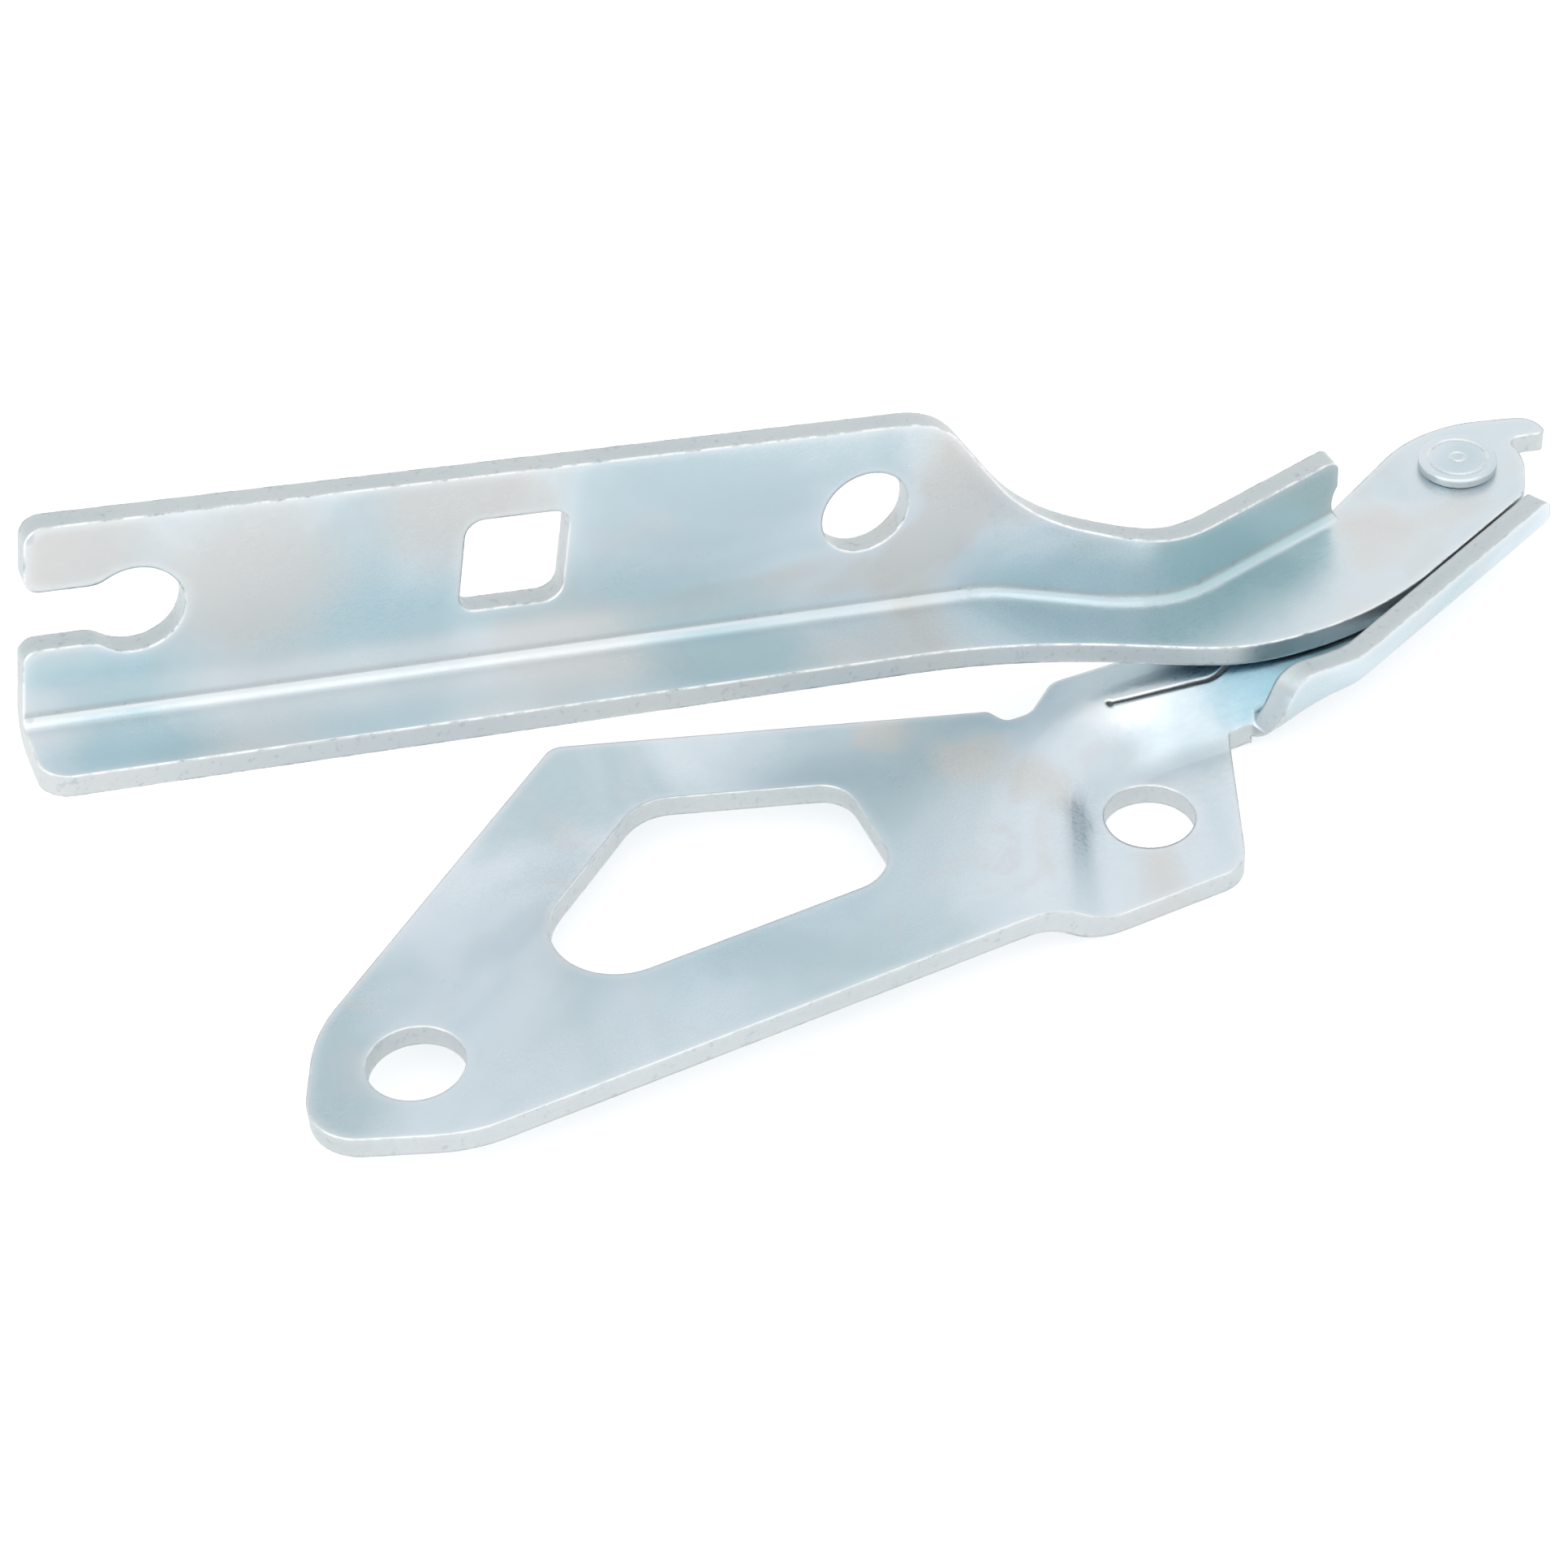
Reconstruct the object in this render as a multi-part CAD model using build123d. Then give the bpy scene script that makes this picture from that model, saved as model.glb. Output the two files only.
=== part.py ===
from build123d import *
import math
import os

# Hood hinge: a body bracket and a hood arm, pressed from sheet steel, turning on one rivet.
# Millimetres. The origin is the centre of the first bolt hole on the bracket's underside, +Z is the
# pivot axis, and +X runs along the hood arm towards the pivot.

# Sheet and folds
sheet = 3.0  # thickness of both leaves
arm_fold = 1.5  # inside radius of the arm's long fold
flange_fold = 1.0  # inside radius at the foot of the bracket's flange
leaf_gap = 0.5  # room between the two leaves at the pivot

# Pivot
pivot_x = 166.9
pivot_y = 43.7
shank_dia = 6.5
bush_wall = 1.0
running_gap = 0.05  # radial and end clearance of the turning joint
head_dia = 10.8
head_height = 1.55
head_groove_dia = 7.9
head_groove = 0.25  # depth of the ring groove and of the mark in the middle
head_edge_round = 0.55
head_under_edge = 0.3
head_mark_dia = 2.0
tail_dia = 10.0
tail_height = 1.6
tail_edge = 0.6
bush_flange_dia = 13.0

# Bracket plate: each edge is a line with an outward direction and a distance from the first bolt hole
hole_dia = 12.2
edge_reach = 13.9  # front and side edges
nose_angle = -110.8  # cut across the front of the rounded end
nose_reach = 12.0
nose_round = 7.0
left_angle = 158.0
left_reach = 12.8
left_round = 20.0
front_round = 20.0
front_angle = -86.3
side_angle = 130.1
upper_angle = 71.4
upper_reach = 55.3
upper_corner_round = 2.5
tab_start = 88.4  # where the upper edge drops into the scallop
scallop_floor = 25.8
scallop_width = 5.0
scallop_lip = 1.4
scallop_round = 3.5
tab_edge = 30.2
tab_end = 112.0
tab_round = 15.0
pivot_lobe_radius = 9.0

# Window in the plate: borders left round it, and its right side
window_front_border = 15.0
window_side_border = 15.6
window_upper_border = 11.7
window_right = 66.0
window_rounds = (8.9, 7.0, 5.0, 6.0)

# Lowered pad round the second bolt hole
pad_hole_dia = 11.8
pad_hole_x = 101.3
pad_hole_y = 6.7
pad_drop = 5.6
pad_ramp = 6.5  # plan width of the ramp down to the pad
pad_fold = 7.0  # inside radius at the foot of the ramp and outside radius under its top
pad_edge_angle = -22.0
pad_edge_reach = 11.6  # from the pad's hole to the bracket's right edge
pad_corner_round = 5.0
pad_left = 78.5  # top of the ramp where it crosses the front edge
pad_left_angle = 157.0
pad_top = 22.6  # top of the ramp beside the slit
pad_top_angle = 113.0
pad_turn_x = 128.5  # where the ramp turns towards the flange
pad_turn_angle = 21.0
pad_rim_rounds = (20.0, 20.0, 16.0)  # corners of the ramp's top, from the front edge to the flange

# Slit that frees the tab from the ramp
slit_width = 0.5
slit_start = 103.7
slit_y = 23.2
slit_turn_x = 118.5  # where the slit turns up towards the pivot
slit_turn_y = 22.3
slit_end_x = 124.0
slit_end_y = 24.6
slit_bend = 5.0
slit_eye_dia = 1.0  # round end of the slit

# Upturned flange along the arm's lobe
flange_angle = -65.0
flange_reach = 11.2  # from the pivot to the flange's inner face
flange_tip = 2.0  # how far the flange runs past the pivot
flange_run_y = 16.1  # inner face of the short front run
flange_run = 13.2  # length of the front run, from its low end to the bend
flange_rise = 4.0  # length over which its end climbs from the pad
flange_skew = 0.5  # how far the end leans along the flange, for each step through the sheet
flange_extra = 0.2  # how far the flange stands above the arm
flange_bend = 8.0
flange_tip_round = 2.0
notch_depth = 0.2  # behind the flange's inner face
notch_round = 0.8

# Hood arm: the round hole places the straight run, which climbs away from the pivot
arm_hole_x = 77.6
arm_hole_z = 31.0
arm_face_y = 41.2  # front face of the upright flange
arm_tilt = 11.07
arm_top = 12.7  # above the round hole
arm_floor = 15.7  # lower flange's upper face below the round hole
arm_end = 108.5  # free end from the round hole
floor_rounds = (60.0,)  # where the lower flange levels out
arm_front = 10.8  # lower flange in front of the upright face
arm_corner_round = 2.5
arm_front_round = 3.5  # front corner of the lower flange at the free end
round_hole_dia = 12.0
square_hole_side = 13.6
square_hole_round = 2.4
square_hole_at = -47.5
slot_dia = 12.1
slot_at = -95.1
slot_neck = 8.4
slot_round = 4.0  # where the neck opens into the round part
slot_mouth_round = 2.0
holes_drop = 0.6  # square hole and slot lie a little below the round hole

# Upright flange: joggle in plan and its top line
joggle_x = 94.5
joggle_low_x = 114.9
joggle_depth = 8.1
joggle_rounds = (20.0, 25.0)
tail_angle = 14.4
tail_end_x = 146.6
shoulder_at = 8.8  # end of the high part, along the arm from the round hole
shoulder_round = 11.0
hollow_x = 99.5
hollow_rise = 17.4
hollow_round = 20.0
tail_x = 120.0
tail_rise = 9.8
tail_round = 30.0
tail_tip_round = 2.0
relief_radius = 4.0  # scoop in the tail's end, above the fold
relief_depth = 0.9
relief_rise = 2.6  # middle of the scoop above the lobe

# Arm lobe
lobe_front_gap = 0.6  # between the lobe and the bracket's flange
front_bend_x = 93.4
front_bend_round = 100.0
front_slope = -106.4
lobe_bend_round = 47.0
arm_lobe_radius = 9.25
lobe_cheek_angle = -30.0
lobe_cheek_round = 5.0
lobe_back_round = 20.0
heel_angle = 120.3
heel_reach = 9.1
hook_reach = 15.0
hook_tip_round = 3.5
hook_back_angle = 72.6
hook_back_reach = 9.7
hook_under_angle = -102.8
hook_under_reach = -4.6
hook_under_round = 0.8
hook_notch_round = 1.5

# Levels
plate_top = sheet
lobe_base = plate_top + leaf_gap
lobe_top = lobe_base + sheet
pad_level = plate_top - pad_drop
flange_top = lobe_top + flange_extra
pivot = Vector(pivot_x, pivot_y)
bush_dia = shank_dia + 2 * running_gap + 2 * bush_wall
deep = 200.0  # larger than anything, for cuts that go right through
near_enough = 0.01
corner_share = 0.995  # most of a side that its two rounded corners may take


def meet(line_a, line_b, centre=Vector(0, 0)):
    """Where two lines cross; each is an outward direction in degrees and a distance from centre."""
    (angle_a, reach_a), (angle_b, reach_b) = line_a, line_b
    cos_a, sin_a = math.cos(math.radians(angle_a)), math.sin(math.radians(angle_a))
    cos_b, sin_b = math.cos(math.radians(angle_b)), math.sin(math.radians(angle_b))
    span = cos_a * sin_b - sin_a * cos_b
    x = (reach_a * sin_b - reach_b * sin_a) / span
    y = (reach_b * cos_a - reach_a * cos_b) / span
    return centre + Vector(x, y)


def line_through(point, angle, centre=Vector(0, 0)):
    """A line for meet() with outward direction angle, passing through point."""
    way = Vector(1, 0).rotate(Axis.Z, angle)
    return angle, (point - centre).dot(way)


def rounded(corners):
    """A closed outline from (point, corner radius) pairs; a side that is too short limits its two radii."""
    points, rounds = zip(*corners)
    sides = [points[(i + 1) % len(points)] - point for i, point in enumerate(points)]
    run_outs = []
    for i, radius in enumerate(rounds):
        turn = math.radians(sides[i - 1].get_angle(sides[i]))
        run_outs.append(radius * math.tan(turn / 2))
    room = []
    for i, side in enumerate(sides):
        used = run_outs[i] + run_outs[(i + 1) % len(points)]
        room.append(side.length * corner_share / used if used > side.length * corner_share else 1)
    limited = [radius * min(room[i - 1], room[i]) for i, radius in enumerate(rounds)]
    return make_face(FilletPolyline(*points, radius=limited, close=True))


def shifted(path, side):
    """The corners of a bent line moved sideways, to its left when side is positive."""
    moved = []
    for i, corner in enumerate(path):
        into = (corner - path[i - 1]).normalized() if i > 0 else (path[1] - path[0]).normalized()
        out = (path[i + 1] - corner).normalized() if i + 1 < len(path) else into
        left_in = into.rotate(Axis.Z, 90)
        left_out = out.rotate(Axis.Z, 90)
        moved.append(corner + (left_in + left_out) * (side / (1 + left_in.dot(left_out))))
    return moved


def shifted_rounds(path, rounds, side):
    """Bend radii that keep a shifted line parallel to its path."""
    turns = [(path[i] - path[i - 1]).cross(path[i + 1] - path[i]).Z for i in range(1, len(path) - 1)]
    return [radius - math.copysign(1, turn) * side for radius, turn in zip(rounds, turns)]


def band(path, rounds, side):
    """A strip of even thickness beside a bent line, on its left when side is positive."""
    far = shifted(path, side)
    near_rounds = [0, *rounds, 0]
    far_rounds = [0, *shifted_rounds(path, rounds, side), 0]
    near = list(zip(path, near_rounds))
    back = list(zip(far, far_rounds))
    return rounded(near + back[::-1])


def upright(face):
    """A plan outline drawn up and down through everything."""
    return extrude(face, amount=deep, both=True)


def sideways(face):
    """A side view outline, drawn in X and Z, pushed front to back through everything."""
    return extrude(Plane.XZ * face, amount=deep, both=True)


def longest_edge(solid, plan_line, side_line):
    """The longest edge of a solid on one line in plan and another in the side view."""
    found = ShapeList()
    for edge in solid.edges():
        middle = edge.position_at(0.5)
        in_plan = plan_line.distance_to(Vector(middle.X, middle.Y)) < near_enough
        in_side = side_line.distance_to(Vector(middle.X, middle.Z)) < near_enough
        if in_plan and in_side:
            found.append(edge)
    return found.sort_by(SortBy.LENGTH)[-1]


# Bracket


def flange_path():
    """Inner face of the flange in plan, from the pivot end to its low end."""
    inner = (flange_angle, flange_reach)
    tip = (flange_angle + 90, flange_tip)
    bend = meet(inner, (90, flange_run_y - pivot_y), pivot)
    return [meet(inner, tip, pivot), bend, bend - Vector(flange_run, 0)]


def bracket_outline():
    front = (front_angle, edge_reach)
    nose = (nose_angle, nose_reach)
    left = (left_angle, left_reach)
    side = (side_angle, edge_reach)
    upper = (upper_angle, upper_reach)
    pad_hole = Vector(pad_hole_x, pad_hole_y)
    pad_edge_way = Vector(1, 0).rotate(Axis.Z, pad_edge_angle)
    pad_edge = line_through(pad_hole + pad_edge_way * pad_edge_reach, pad_edge_angle)
    tab_corner = Vector(tab_end, tab_edge)
    to_pivot = pivot - tab_corner
    lean = math.atan2(to_pivot.Y, to_pivot.X) + math.asin(pivot_lobe_radius / to_pivot.length)
    lobe_touch = pivot + Vector(0, pivot_lobe_radius).rotate(Axis.Z, math.degrees(lean))
    tip, bend, low_end = shifted(flange_path(), sheet)
    notch_top = flange_run_y + notch_depth
    plate = rounded([
        (meet(side, left), left_round),
        (meet(left, nose), nose_round),
        (meet(nose, front), front_round),
        (meet(front, pad_edge), pad_corner_round),
        (meet(pad_edge, (90, notch_top)), notch_round),
        (Vector(low_end.X, notch_top), notch_round),
        (low_end + Vector(flange_skew * sheet, 0), 0),
        (bend, flange_bend + sheet),
        (tip, 0),
        (flange_path()[0], 0),
        (lobe_touch, 0),
        (tab_corner, tab_round),
        (Vector(tab_start + 2 * scallop_width, tab_edge), scallop_round),
        (Vector(tab_start + scallop_width, scallop_floor), scallop_round),
        (Vector(tab_start + scallop_lip, scallop_floor), scallop_lip),
        (meet(upper, (0, tab_start)), scallop_lip),
        (meet(side, upper), upper_corner_round),
    ])
    return plate + Pos(pivot) * Circle(pivot_lobe_radius)


def window():
    front = (front_angle, edge_reach - window_front_border)
    side = (side_angle, edge_reach - window_side_border)
    upper = (upper_angle, upper_reach - window_upper_border)
    right = (0, window_right)
    corners = [meet(front, side), meet(side, upper), meet(upper, right), meet(right, front)]
    return rounded(zip(corners, window_rounds))


def ground(top, widen, rim_round, floor_round):
    """Everything below one face of the bracket sheet, with the hollow that forms the pad."""
    left = line_through(Vector(pad_left, -edge_reach), pad_left_angle)
    top_left = line_through(Vector(slit_start, pad_top), pad_top_angle)
    upper = (90, pad_top)
    right = line_through(Vector(pad_turn_x, pad_top), pad_turn_angle)
    low = (-90, deep)
    corners = [meet(low, left), meet(left, top_left), meet(top_left, upper), meet(upper, right),
               meet(right, low)]
    rim = rounded(zip(corners, (0, *pad_rim_rounds, 0)))
    rim = offset(rim, widen, kind=Kind.INTERSECTION) if widen else rim
    slope = math.degrees(math.atan2(pad_ramp, pad_drop))
    hollow = extrude(Pos(0, 0, top) * rim, amount=-pad_drop, taper=slope)
    hollow = fillet(hollow.faces().sort_by(Axis.Z)[0].edges(), floor_round)
    block = Pos(0, 0, top - deep / 2) * Box(6 * deep, 6 * deep, deep) - hollow
    rim_edges = block.faces().sort_by(Axis.Z)[-1].inner_wires()[0].edges()
    return fillet(rim_edges, rim_round)


def flange_space(side, below, fold):
    """Everything behind and above one face of the flange and its sheet; side is its depth in the sheet."""
    path = shifted(flange_path(), side)
    bend_round = shifted_rounds(path, [flange_bend], side)[0]
    tip = path[0] + (path[0] - path[1])
    low_end = path[2] - Vector(sheet, 0)
    behind = rounded([
        (tip, 0),
        (path[1], bend_round),
        (low_end, 0),
        (Vector(low_end.X, deep), 0),
        (Vector(tip.X, deep), 0),
    ])
    space = upright(behind) - below
    foot = FilletPolyline(tip, path[1], low_end, radius=bend_round)
    return fillet(foot_edge(space, foot), fold)


def flange_air(above):
    """Everything over the flange and over the sheet beyond its low end."""
    low_end = flange_path()[-1].X
    side = rounded([
        (Vector(-deep, pad_level), 0),
        (Vector(low_end, pad_level), 0),
        (Vector(low_end + flange_rise, flange_top), flange_rise),
        (Vector(2 * deep, flange_top), 0),
        (Vector(2 * deep, deep), 0),
        (Vector(-deep, deep), 0),
    ])
    leaning = extrude(Plane.XZ * side, amount=deep, dir=Vector(flange_skew, -1))
    return sideways(side) + Pos(0, flange_run_y) * leaning - above


def foot_edge(space, line):
    """The longest edge along the foot of a space whose wall stands on a line in plan."""
    found = ShapeList()
    for edge in space.edges():
        middle = edge.position_at(0.5)
        if line.distance_to(Vector(middle.X, middle.Y)) < near_enough and middle.Z < lobe_base:
            found.append(edge)
    return found.sort_by(SortBy.LENGTH)[-1]


def slit():
    """The cut between the tab and the top of the ramp, ending in the fold line towards the pivot."""
    path = [Vector(slit_start, slit_y), Vector(slit_turn_x, slit_turn_y), Vector(slit_end_x, slit_end_y)]
    eye = shifted(path, slit_width / 2)[0]
    return band(path, [slit_bend], slit_width) + Pos(eye) * Circle(slit_eye_dia / 2)


def body_bracket():
    half_slope = math.atan2(pad_drop, pad_ramp) / 2
    above = ground(plate_top, 0, pad_fold + sheet, pad_fold)
    below = ground(plate_top - sheet, sheet * math.tan(half_slope), pad_fold, pad_fold + sheet)
    before_flange = Pos(flange_path()[-1].X - deep, 0) * Rectangle(2 * deep, 2 * deep)
    bracket = (upright(before_flange) - below) + flange_space(sheet, below, flange_fold + sheet)
    bracket -= flange_air(above)
    bracket -= flange_space(0, above, flange_fold)
    bracket &= upright(bracket_outline())
    tip = shifted(flange_path(), sheet / 2)[0]
    tip_corner = Vector(tip.X, tip.Y, flange_top)
    bracket = fillet(bracket.edges().sort_by_distance(tip_corner)[0], flange_tip_round)
    cuts = window() + Circle(hole_dia / 2) + Pos(pad_hole_x, pad_hole_y) * Circle(pad_hole_dia / 2)
    cuts += Pos(pivot) * Circle(shank_dia / 2) + slit()
    return bracket - upright(cuts)


# Hood arm


def arm_point(along, up):
    """A point of the straight run in the side view, measured from the round hole."""
    return Vector(arm_hole_x, arm_hole_z) + Vector(along, up).rotate(Axis.Z, -arm_tilt)


def floor_path():
    """Upper face of the lower flange in the side view, from beyond the free end past the lobe."""
    start = arm_point(-deep, -arm_floor)
    bend = meet(line_through(start, 90 - arm_tilt), (90, lobe_top))
    return [start, bend, Vector(2 * deep, lobe_top)]


def face_path():
    """Front face of the upright flange in plan, from the free end past the tail."""
    low = Vector(joggle_low_x, arm_face_y - joggle_depth)
    tail = low + Vector(2 * (tail_end_x - joggle_low_x), 0).rotate(Axis.Z, tail_angle)
    return [Vector(-deep, arm_face_y), Vector(joggle_x, arm_face_y), low, tail]


def keyhole():
    """The slot at the free end, drawn along the arm from the round hole."""
    centre = Vector(slot_at, -holes_drop)
    neck = Pos(centre - Vector(arm_end / 2, 0)) * Rectangle(arm_end, slot_neck)
    slot = Pos(centre) * Circle(slot_dia / 2) + neck
    throat = math.sqrt(slot_dia ** 2 - slot_neck ** 2) / 2
    for side in (1, -1):
        corner = centre + Vector(-throat, side * slot_neck / 2)
        slot = fillet(slot.vertices().sort_by_distance(corner)[0], slot_round)
    return slot


def side_outline():
    """Side view of the folded part: its ends, top line and holes."""
    outline = rounded([
        (arm_point(-arm_end, -deep), 0),
        (Vector(tail_end_x, -deep), 0),
        (Vector(tail_end_x, lobe_top + tail_rise), tail_tip_round),
        (Vector(tail_x, lobe_top + tail_rise), tail_round),
        (Vector(hollow_x, lobe_top + hollow_rise), hollow_round),
        (arm_point(shoulder_at, arm_top), shoulder_round),
        (arm_point(-arm_end, arm_top), arm_corner_round),
    ])
    square = RectangleRounded(square_hole_side, square_hole_side, square_hole_round)
    holes = Circle(round_hole_dia / 2) + Pos(square_hole_at, -holes_drop) * square + keyhole()
    outline -= Pos(arm_hole_x, arm_hole_z) * Rot(0, 0, -arm_tilt) * holes
    relief_x = tail_end_x + relief_radius - relief_depth
    outline -= Pos(relief_x, lobe_top + relief_rise) * Circle(relief_radius)
    for side in (1, -1):
        mouth = arm_point(-arm_end, side * slot_neck / 2 - holes_drop)
        outline = fillet(outline.vertices().sort_by_distance(mouth)[0], slot_mouth_round)
    return outline


def plan_outline():
    """Plan of the arm: front edge, pivot lobe, hook and the end of the fold; open behind the fold."""
    front_y = arm_face_y - arm_front
    front_bend = Vector(front_bend_x, front_y)
    along_flange = (flange_angle, flange_reach - lobe_front_gap)
    cheek = (lobe_cheek_angle, arm_lobe_radius)
    right = (0, arm_lobe_radius)
    heel = (heel_angle, heel_reach)
    hook_back = (hook_back_angle, hook_back_reach)
    hook_tip = (0, hook_reach)
    hook_under = (hook_under_angle, hook_under_reach)
    return rounded([
        (Vector(-deep, front_y), 0),
        (front_bend, front_bend_round),
        (meet(line_through(front_bend, front_slope, pivot), along_flange, pivot), lobe_bend_round),
        (meet(along_flange, cheek, pivot), lobe_cheek_round),
        (meet(cheek, right, pivot), arm_lobe_radius),
        (meet(right, hook_under, pivot), hook_notch_round),
        (meet(hook_under, hook_tip, pivot), hook_under_round),
        (meet(hook_tip, hook_back, pivot), hook_tip_round),
        (meet(hook_back, heel, pivot), lobe_back_round),
        (meet(heel, (0, tail_end_x - pivot_x), pivot), 0),
        (Vector(tail_end_x, deep), 0),
        (Vector(-deep, deep), 0),
    ])


def fold_space(side, fold):
    """Everything in front of and above one face of the folded sheet; side is its depth in the sheet."""
    plan = shifted(face_path(), side)
    plan_rounds = shifted_rounds(face_path(), joggle_rounds, side)
    low = shifted(floor_path(), -side)
    low_rounds = shifted_rounds(floor_path(), floor_rounds, -side)
    in_front = rounded([*zip(plan, [0, *plan_rounds, 0]),
                        (Vector(plan[-1].X, -deep), 0), (Vector(plan[0].X, -deep), 0)])
    over = rounded([*zip(low, [0, *low_rounds, 0]),
                    (Vector(low[-1].X, deep), 0), (Vector(low[0].X, deep), 0)])
    space = sideways(over) & upright(in_front)
    plan_line = FilletPolyline(*plan, radius=plan_rounds)
    low_line = FilletPolyline(*low, radius=low_rounds)
    return fillet(longest_edge(space, plan_line, low_line), fold)


def hood_arm():
    outline = plan_outline()
    folded = (fold_space(sheet, arm_fold + sheet) - fold_space(0, arm_fold)) & upright(outline)
    folded &= sideways(side_outline())
    end = arm_point(-arm_end, -arm_floor - sheet / 2)
    corner = Vector(end.X, arm_face_y - arm_front, end.Y)
    folded = fillet(folded.edges().sort_by_distance(corner)[0], arm_front_round)
    beyond_fold = Pos(tail_end_x + deep, 0) * Rectangle(2 * deep, 2 * deep)
    lobe = extrude(Pos(0, 0, lobe_base) * (outline & beyond_fold), amount=sheet)
    return folded + lobe - Pos(pivot) * Cylinder(bush_dia / 2, deep)


# Rivet and bush


def ring_groove(dia, top):
    """A small ring groove with sloping sides in the top of the rivet's head."""
    narrow = dia / 2 - 2 * head_groove
    wide = dia / 2 + 2 * head_groove
    height = 4 * head_groove
    return Pos(0, 0, top - head_groove) * (Cone(narrow, wide, height) - Cone(wide, narrow, height))


def pivot_rivet():
    head_base = lobe_top + running_gap
    head_top = head_base + head_height
    tail = Pos(0, 0, -tail_height) * extrude(Circle(tail_dia / 2), amount=tail_height)
    tail = chamfer(tail.edges().sort_by(Axis.Z)[0], tail_edge)
    head = Pos(0, 0, head_base) * extrude(Circle(head_dia / 2), amount=head_height)
    head = chamfer(head.edges().sort_by(Axis.Z)[0], head_under_edge)
    head = fillet(head.edges().sort_by(Axis.Z)[-1], head_edge_round)
    head -= ring_groove(head_groove_dia, head_top) + ring_groove(head_mark_dia, head_top)
    shank = extrude(Circle(shank_dia / 2), amount=head_base)
    return Pos(pivot) * (tail + shank + head)


def pivot_bush():
    flange_base = plate_top + running_gap
    bore = shank_dia / 2 + running_gap
    barrel = Pos(0, 0, flange_base) * extrude(Circle(bush_dia / 2), amount=lobe_top - flange_base)
    rim = Pos(0, 0, flange_base) * extrude(Circle(bush_flange_dia / 2), amount=lobe_base - flange_base)
    return Pos(pivot) * (barrel + rim - Cylinder(bore, deep))


os.makedirs("parts", exist_ok=True)
for node in (body_bracket, hood_arm, pivot_rivet, pivot_bush):
    export_step(node(), f"parts/{node.__name__}.step")
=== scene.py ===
import bpy
from mathutils import Matrix, Vector


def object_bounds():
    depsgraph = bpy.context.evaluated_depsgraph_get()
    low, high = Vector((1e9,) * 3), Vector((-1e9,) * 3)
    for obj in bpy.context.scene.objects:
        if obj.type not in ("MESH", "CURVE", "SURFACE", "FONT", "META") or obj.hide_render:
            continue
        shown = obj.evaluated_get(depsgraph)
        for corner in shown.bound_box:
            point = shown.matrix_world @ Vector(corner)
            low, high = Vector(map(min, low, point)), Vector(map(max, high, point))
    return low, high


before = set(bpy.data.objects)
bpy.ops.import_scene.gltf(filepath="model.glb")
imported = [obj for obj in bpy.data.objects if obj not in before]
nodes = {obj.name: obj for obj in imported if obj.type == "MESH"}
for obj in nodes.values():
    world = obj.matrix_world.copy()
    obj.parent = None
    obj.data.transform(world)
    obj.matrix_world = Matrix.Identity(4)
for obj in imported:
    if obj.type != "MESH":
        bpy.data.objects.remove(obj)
cad_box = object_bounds()
scene = bpy.context.scene
scene.view_settings.view_transform = "Standard"
scene.cycles.max_bounces = 16
scene.cycles.glossy_bounces = 12


# Node helpers


class Graph:
    """A node tree with short ways to add and join nodes."""

    def __init__(self, owner):
        owner.use_nodes = True
        self.tree = owner.node_tree

    def add(self, kind, **settings):
        node = self.tree.nodes.new(kind)
        for key, value in settings.items():
            setattr(node, key, value)
        return node

    def feed(self, socket, value):
        """Links a socket to the value, or sets the value on it."""
        if isinstance(value, bpy.types.NodeSocket):
            self.tree.links.new(value, socket)
        else:
            socket.default_value = value

    def noise(self, place, scale, detail=3.0, rough=0.5, twist=0.0):
        node = self.add("ShaderNodeTexNoise")
        self.feed(node.inputs["Vector"], place)
        self.feed(node.inputs["Scale"], scale)
        self.feed(node.inputs["Detail"], detail)
        self.feed(node.inputs["Roughness"], rough)
        self.feed(node.inputs["Distortion"], twist)
        return node.outputs["Fac"]

    def spread(self, value, low, high, to_low=0.0, to_high=1.0):
        """Takes low..high to to_low..to_high, held at the ends."""
        node = self.add("ShaderNodeMapRange", interpolation_type="SMOOTHSTEP")
        self.feed(node.inputs["Value"], value)
        self.feed(node.inputs["From Min"], low)
        self.feed(node.inputs["From Max"], high)
        self.feed(node.inputs["To Min"], to_low)
        self.feed(node.inputs["To Max"], to_high)
        return node.outputs["Result"]

    def mix(self, share, a, b):
        """Goes from colour a to colour b as share goes from 0 to 1."""
        node = self.add("ShaderNodeMix", data_type="RGBA")
        self.feed(node.inputs[0], share)
        self.feed(node.inputs[6], a)
        self.feed(node.inputs[7], b)
        return node.outputs[2]

    def math(self, operation, *values):
        node = self.add("ShaderNodeMath", operation=operation)
        for socket, value in zip(node.inputs, values):
            self.feed(socket, value)
        return node.outputs[0]

    def sum(self, a, b):
        return self.math("ADD", a, b)

    def minus(self, a, b):
        return self.math("SUBTRACT", a, b)

    def times(self, a, b):
        return self.math("MULTIPLY", a, b)

    def size(self, value):
        return self.math("ABSOLUTE", value)

    def moved(self, place, shift, stretch):
        node = self.add("ShaderNodeMapping")
        self.feed(node.inputs["Vector"], place)
        self.feed(node.inputs["Location"], shift)
        self.feed(node.inputs["Scale"], stretch)
        return node.outputs["Vector"]

    def axis(self, vector, name):
        node = self.add("ShaderNodeSeparateXYZ")
        self.feed(node.inputs[0], vector)
        return node.outputs[name]

    def vector(self, operation, a, b):
        """A vector operation that gives one number."""
        node = self.add("ShaderNodeVectorMath", operation=operation)
        self.feed(node.inputs[0], a)
        self.feed(node.inputs[1], b)
        return node.outputs["Value"]

    def rounded(self, radius):
        """The normal as if every edge had this radius."""
        node = self.add("ShaderNodeBevel", samples=8)
        self.feed(node.inputs["Radius"], radius)
        return node.outputs["Normal"]


# Places on the part, in metres

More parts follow.
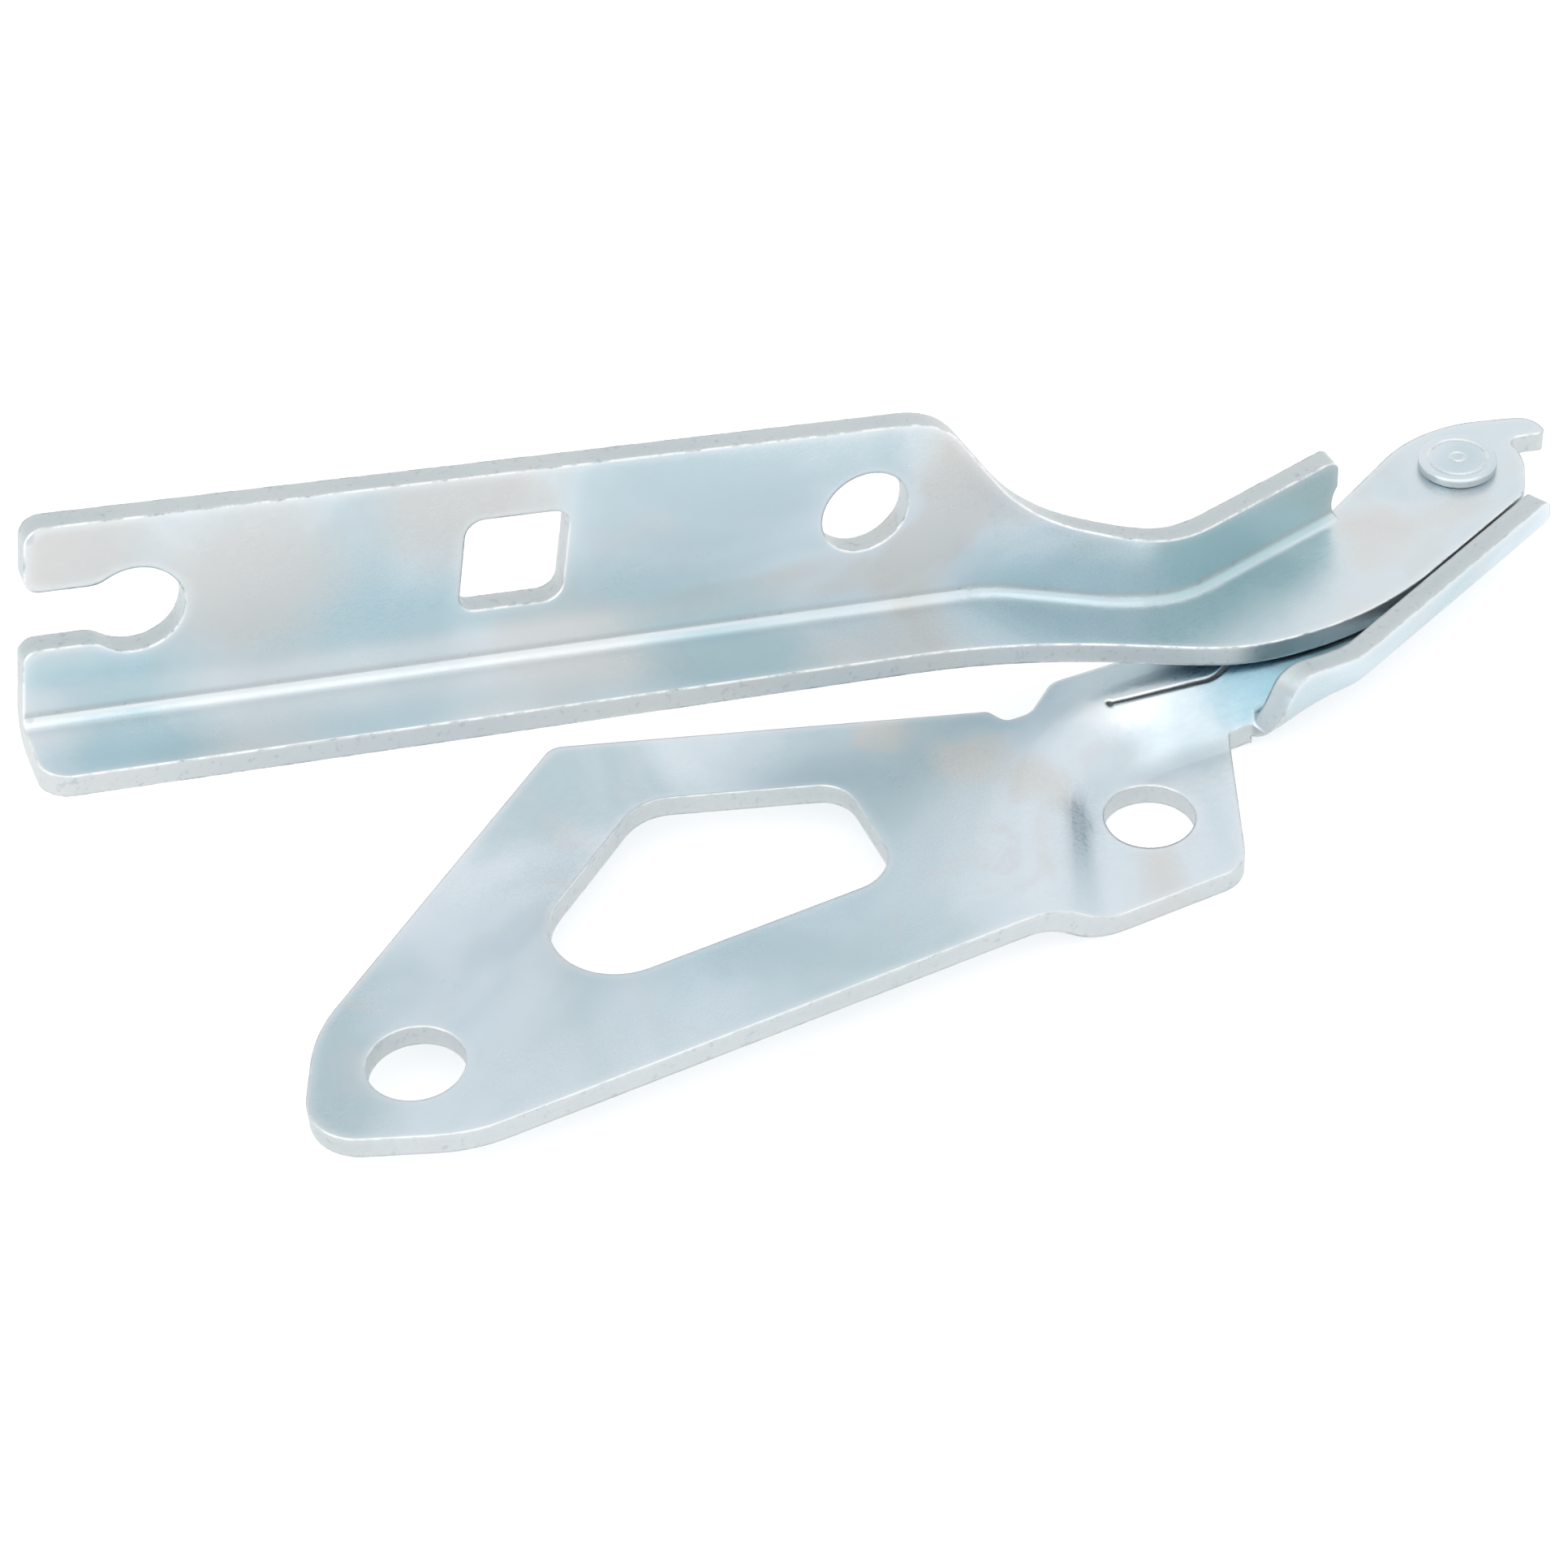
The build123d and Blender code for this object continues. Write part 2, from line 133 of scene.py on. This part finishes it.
flange_from, flange_to = 0.1240, 0.1250  # where the bracket's plate turns into its flange, along X
flange_foot, flange_face = 0.0034, 0.0038  # heights of the flange's foot
fold_start = 0.03018  # height of the arm's fold line at the origin
fold_slope = 0.1956
fold_level = 0.0065  # height at which the fold line runs level
straight_from, straight_to = 0.075, 0.025  # where the arm's straight half begins, along X


# Where the sheet was cut: each takes the graph, the place and the flat normal, and gives a mask


def bracket_cuts(graph, place, normal):
    """Sides of the plate before the flange, and the top and end of the flange."""
    plate = graph.spread(graph.size(graph.axis(normal, "Z")), 0.6, 0.5)
    flange = graph.spread(graph.size(graph.axis(normal, "Y")), 0.7, 0.6)
    flange = graph.times(flange, graph.spread(graph.axis(place, "Z"), flange_foot, flange_face))
    in_flange = graph.spread(graph.axis(place, "X"), flange_from, flange_to)
    in_plate = graph.minus(1.0, in_flange)
    return graph.sum(graph.times(plate, in_plate), graph.times(flange, in_flange))


def over_fold(graph, place):
    """Height over the arm's fold line, which slopes down and then runs level."""
    slope = graph.minus(fold_start, graph.times(graph.axis(place, "X"), fold_slope))
    return graph.minus(graph.axis(place, "Z"), graph.math("MAXIMUM", slope, fold_level))


def arm_cuts(graph, place, normal):
    """Edges of the upright flange above the fold, and of the lower flange and lobe below it."""
    above = graph.spread(over_fold(graph, place), 0.0012, 0.0024)
    below = graph.minus(1.0, above)
    upright = graph.spread(graph.size(graph.axis(normal, "Y")), 0.6, 0.5)
    lower = graph.spread(graph.size(graph.axis(normal, "Z")), 0.3, 0.2)
    return graph.sum(graph.times(upright, above), graph.times(lower, below))


def rivet_cuts(graph, place, normal):
    """The rim of the rivet's heads."""
    return graph.spread(graph.size(graph.axis(normal, "Z")), 0.6, 0.4)


def arm_painted_fold_light(graph, place):
    """Along the straight half: a painted highlight at the foot of the wall by the fold, and a bluer
    painted reflection of the lower flange on the wall over it.
    """
    height = over_fold(graph, place)
    straight = graph.spread(graph.axis(place, "X"), straight_from, straight_to)
    highlight_foot = graph.spread(height, 0.007, 0.003)
    reflection_band = graph.times(graph.spread(height, 0.004, 0.008), graph.spread(height, 0.019, 0.010))
    return graph.times(highlight_foot, straight), graph.times(reflection_band, straight)


# Tints

teal = (0.50, 0.60, 0.64, 1.0)
pale_blue = (0.68, 0.74, 0.775, 1.0)
lilac_blue = (0.68, 0.74, 0.79, 1.0)
painted_sheen = (0.78, 0.80, 0.815, 1.0)
painted_tab_light = (0.88, 0.90, 0.91, 1.0)
warm_grey = (0.59, 0.58, 0.565, 1.0)
beige = (0.66, 0.65, 0.63, 1.0)
pink = (0.64, 0.62, 0.63, 1.0)
chalk = (0.54, 0.56, 0.56, 1.0)
slate = (0.36, 0.40, 0.42, 1.0)
white = (0.88, 0.88, 0.87, 1.0)
ink = (0.20, 0.22, 0.27, 1.0)
painted_shade_blue = (0.25, 0.43, 0.51, 1.0)
sea_green = (0.44, 0.61, 0.63, 1.0)
sky_blue = (0.46, 0.61, 0.66, 1.0)
smoke = (0.30, 0.33, 0.40, 1.0)
dark_bronze = (0.46, 0.32, 0.17, 1.0)
bright_bronze = (0.62, 0.46, 0.27, 1.0)

# Single spots of tint: centre, radius, tint and the way that the face looks; some are painted light or
# painted shade, as marked
upward = (0.0, 0.0, 1.0)
forward = (0.0, -1.0, 0.0)
plate_spots = [
    ((0.0740, 0.0310, 0.0030), 0.0040, beige, upward),
    ((0.0830, 0.0220, 0.0030), 0.0045, beige, upward),
    ((0.0890, 0.0140, 0.0010), 0.0045, beige, upward),
    # painted highlight on the tab beside and under the arm, lifting it out of the arm's shade
    ((0.1060, 0.0270, 0.0030), 0.0080, painted_tab_light, upward),
    # painted shade: the blue shade on the plate under the arm
    ((0.1270, 0.0220, 0.0010), 0.0110, painted_shade_blue, upward),
    ((0.1430, 0.0310, 0.0030), 0.0120, painted_shade_blue, upward),
]
arm_spots = [
    ((0.1260, 0.0360, 0.0110), 0.0100, sea_green, forward),
    ((0.1400, 0.0400, 0.0110), 0.0080, sea_green, forward),
    ((-0.0240, 0.0412, 0.0580), 0.0130, warm_grey, forward),
    ((-0.0020, 0.0412, 0.0480), 0.0130, warm_grey, forward),
    ((0.0250, 0.0412, 0.0530), 0.0120, warm_grey, forward),
    ((0.0950, 0.0412, 0.0360), 0.0100, warm_grey, forward),
    ((-0.0200, 0.0345, 0.0360), 0.0100, sky_blue, upward),
    ((0.0560, 0.0345, 0.0210), 0.0120, sky_blue, upward),
    ((-0.0262, 0.0412, 0.0635), 0.0012, smoke, forward),
    ((-0.0288, 0.0412, 0.0468), 0.0012, smoke, forward),
    ((-0.0312, 0.0408, 0.0374), 0.0009, smoke, forward),
]


# Materials

patch_scale = 26.0
tint_scale = 75.0
cloud_scale = 45.0
fleck_scale = 900.0
scuff_scale = 420.0
grain_scale = 2400.0
pore_scale = 1800.0
grain_stretch = (0.3, 1.0, 1.0)  # the sheet was rolled along X
sheen_band = 0.004  # width of the painted highlight band along the edges
rim_round = 0.0006  # radius of the rounded edges, also the width of the bright rims that are partly burnished wear and partly painted highlight


def zinc(name, shift, cuts, blue, warm_share, spots, burnish_and_sheen, roughness, painted_bands=None):
    """Satin zinc plate: pale blue passivate with warm patches, rolled grain and burnished edges; painted
    highlights along the edges and at the arm's fold, and painted light and shade in some spots.
    """
    material = bpy.data.materials.new(name)
    graph = Graph(material)
    shader = graph.tree.nodes["Principled BSDF"]
    place = graph.add("ShaderNodeTexCoord").outputs["Object"]
    geometry = graph.add("ShaderNodeNewGeometry")
    normal = geometry.outputs["Normal"]
    flat_normal = geometry.outputs["True Normal"]
    patch_place = graph.moved(place, shift, (1.0, 1.0, 1.0))
    grain_place = graph.moved(place, shift, grain_stretch)

    # Passivate colour: broad teal and warm patches, then smaller pink tints
    patches = graph.noise(patch_place, patch_scale, 3.0, 0.5, 0.8)
    tints = graph.noise(patch_place, tint_scale, 3.0, 0.6, 1.2)
    warmth = graph.spread(patches, 0.62 - warm_share, 0.74 - warm_share, 0.0, 0.8)
    colour = graph.mix(graph.spread(patches, 0.30, 0.60), teal, blue)
    colour = graph.mix(warmth, colour, beige)
    colour = graph.mix(graph.spread(tints, 0.56, 0.74, 0.0, 0.35), colour, pink)
    # Painted light on the arm: a highlight along the foot of the wall and a bluer reflection of the lower
    # flange above it
    if painted_bands:
        painted_foot_highlight, painted_wall_reflection = painted_bands(graph, place)
        colour = graph.mix(graph.times(painted_foot_highlight, 0.7), colour, painted_sheen)
        colour = graph.mix(graph.times(painted_wall_reflection, 0.6), colour, sky_blue)

    # Single spots, with wandering outlines; the plate's spots include a painted highlight and painted
    # shade
    wander = graph.spread(tints, 0.2, 0.8, -0.002, 0.002)
    for spot, radius, tint, facing in spots:
        away = graph.sum(graph.vector("DISTANCE", place, spot), wander)
        share = graph.spread(away, radius * 1.4, radius * 0.4, 0.0, 0.85)
        faced = graph.spread(graph.vector("DOT_PRODUCT", normal, facing), 0.4, 0.7)
        colour = graph.mix(graph.times(share, faced), colour, tint)

    # Painted highlight: a soft paler band along the edges, standing in for light on the rounded edges
    near_edge = graph.vector("DOT_PRODUCT", graph.rounded(sheen_band), flat_normal)
    colour = graph.mix(graph.spread(near_edge, 0.995, 0.75, 0.0, 0.5), colour, painted_sheen)

    # Cut faces are chalky, and flecked
    cut = cuts(graph, place, flat_normal)
    flecks = graph.noise(place, fleck_scale, 3.0, 0.6)
    flecked = graph.mix(graph.spread(flecks, 0.42, 0.30, 0.0, 0.7), chalk, slate)
    colour = graph.mix(graph.times(cut, 0.7), colour, flecked)

    # Edges are lighter, partly from burnished wear and partly a painted highlight on the rounded edges,
    # with a few dark stains
    rim_normal = graph.rounded(rim_round)
    wear_and_sheen = graph.spread(graph.vector("DOT_PRODUCT", rim_normal, flat_normal), 0.99, 0.88, 0.0, burnish_and_sheen)
    scuffs = graph.noise(place, scuff_scale, 4.0, 0.65)
    colour = graph.mix(graph.times(wear_and_sheen, graph.spread(scuffs, 0.42, 0.56)), colour, white)
    colour = graph.mix(graph.times(wear_and_sheen, graph.spread(scuffs, 0.42, 0.30, 0.0, 0.6)), colour, ink)
    graph.feed(shader.inputs["Base Color"], colour)
    shader.inputs["Metallic"].default_value = 1.0

    # Fine rolled grain in the gloss and the surface
    grain = graph.noise(grain_place, grain_scale, 2.0, 0.6)
    clouds = graph.noise(patch_place, cloud_scale, 4.0, 0.6)
    gloss = graph.spread(grain, 0.3, 0.7, -0.05, 0.05)
    gloss = graph.sum(gloss, graph.spread(clouds, 0.3, 0.7, -0.04, 0.04))
    gloss = graph.sum(gloss, graph.spread(cut, 0.0, 1.0, roughness, roughness + 0.15))
    graph.feed(shader.inputs["Roughness"], gloss)
    bump = graph.add("ShaderNodeBump")
    bump.inputs["Strength"].default_value = 0.12
    bump.inputs["Distance"].default_value = 0.00004
    graph.feed(bump.inputs["Height"], graph.sum(grain, graph.times(cut, flecks)))
    graph.feed(bump.inputs["Normal"], rim_normal)
    graph.feed(shader.inputs["Normal"], bump.outputs["Normal"])
    return material


def bronze(name):
    """Plain sintered bronze with fine pores."""
    material = bpy.data.materials.new(name)
    graph = Graph(material)
    shader = graph.tree.nodes["Principled BSDF"]
    place = graph.add("ShaderNodeTexCoord").outputs["Object"]
    pores = graph.noise(place, pore_scale, 3.0, 0.6)
    colour = graph.mix(graph.spread(pores, 0.35, 0.65), dark_bronze, bright_bronze)
    graph.feed(shader.inputs["Base Color"], colour)
    shader.inputs["Metallic"].default_value = 1.0
    graph.feed(shader.inputs["Roughness"], graph.spread(pores, 0.3, 0.7, 0.38, 0.55))
    return material


def dress(node, material):
    """Gives a CAD node this one material."""
    slots = nodes[node].data.materials
    slots.clear()
    slots.append(material)


bracket = zinc("bracket_zinc", shift=(0.13, 0.05, 0.0), cuts=bracket_cuts, blue=lilac_blue, warm_share=0.0,
               spots=plate_spots, burnish_and_sheen=0.45, roughness=0.32)
arm = zinc("arm_zinc", shift=(0.02, 0.31, 0.07), cuts=arm_cuts, blue=pale_blue, warm_share=0.10,
           spots=arm_spots, burnish_and_sheen=1.0, roughness=0.33, painted_bands=arm_painted_fold_light)
rivet = zinc("rivet_zinc", shift=(0.4, 0.1, 0.2), cuts=rivet_cuts, blue=lilac_blue, warm_share=0.04,
             spots=[], burnish_and_sheen=0.45, roughness=0.30)
dress("body_bracket", bracket)
dress("hood_arm", arm)
dress("pivot_rivet", rivet)
dress("pivot_bush", bronze("bush_bronze"))


# Camera: the photo's own viewpoint, worked out from its holes and folds

camera_place = (-0.06230, -0.31255, 0.32852)
camera_right = Vector((0.923758, -0.379454, -0.051821))
camera_up = Vector((0.290488, 0.606051, 0.740485))
camera_back = Vector((-0.249574, -0.699083, 0.670072))
camera = bpy.data.objects.new("camera", bpy.data.cameras.new("camera"))
scene.collection.objects.link(camera)
camera_turn = Matrix((camera_right, camera_up, camera_back)).transposed().to_4x4()
camera.matrix_world = Matrix.Translation(camera_place) @ camera_turn
camera.data.sensor_width = 36.0
camera.data.lens = 86.515
camera.data.clip_start = 0.01
scene.camera = camera


# Floor and light

floor_side = 6.0
floor_gap = 0.0001  # between the floor and the part's lowest point
floor_grey = (0.58, 0.58, 0.58, 1.0)
floor_glow = 0.55  # keeps shadows as faint as in the photo
tent_white = (0.97, 0.99, 1.0, 1.0)
tent_front = (-0.23, -0.83, 0.50)  # from the part to the camera's side
tent_plain, tent_bright = 1.05, 1.22
part_middle = (0.07, 0.02, 0.01)


def plane(name, side, height):
    mesh = bpy.data.meshes.new(name)
    half = side / 2
    corners = [(-half, -half, height), (half, -half, height), (half, half, height), (-half, half, height)]
    mesh.from_pydata(corners, [], [(0, 1, 2, 3)])
    made = bpy.data.objects.new(name, mesh)
    scene.collection.objects.link(made)
    return made


def area_light(name, place, size, power):
    """A soft white light that looks at the middle of the part."""
    data = bpy.data.lights.new(name, "AREA")
    data.shape = "RECTANGLE"
    data.size, data.size_y = size
    data.energy = power
    light = bpy.data.objects.new(name, data)
    scene.collection.objects.link(light)
    light.location = place
    light.rotation_euler = (Vector(part_middle) - Vector(place)).to_track_quat("-Z", "Y").to_euler()


floor = plane("floor", floor_side, cad_box[0].z - floor_gap)
floor_material = bpy.data.materials.new("floor_white")
floor_shader = Graph(floor_material).tree.nodes["Principled BSDF"]
floor_shader.inputs["Base Color"].default_value = floor_grey
floor_shader.inputs["Roughness"].default_value = 0.9
floor_shader.inputs["Emission Color"].default_value = (1.0, 1.0, 1.0, 1.0)
floor_shader.inputs["Emission Strength"].default_value = floor_glow
floor.data.materials.append(floor_material)

# A white tent, a little brighter on the camera's side
scene.world = bpy.data.worlds.new("studio")
tent = Graph(scene.world)
background = tent.tree.nodes["Background"]
background.inputs["Color"].default_value = tent_white
direction = tent.add("ShaderNodeTexCoord").outputs["Generated"]
towards = tent.vector("DOT_PRODUCT", direction, tent_front)
tent.feed(background.inputs["Strength"], tent.spread(towards, 0.45, 0.9, tent_plain, tent_bright))

area_light("overhead", (0.0, -0.25, 0.9), (1.4, 1.0), 1.5)
area_light("window", (-0.9, -0.2, 0.6), (0.8, 0.8), 1.5)
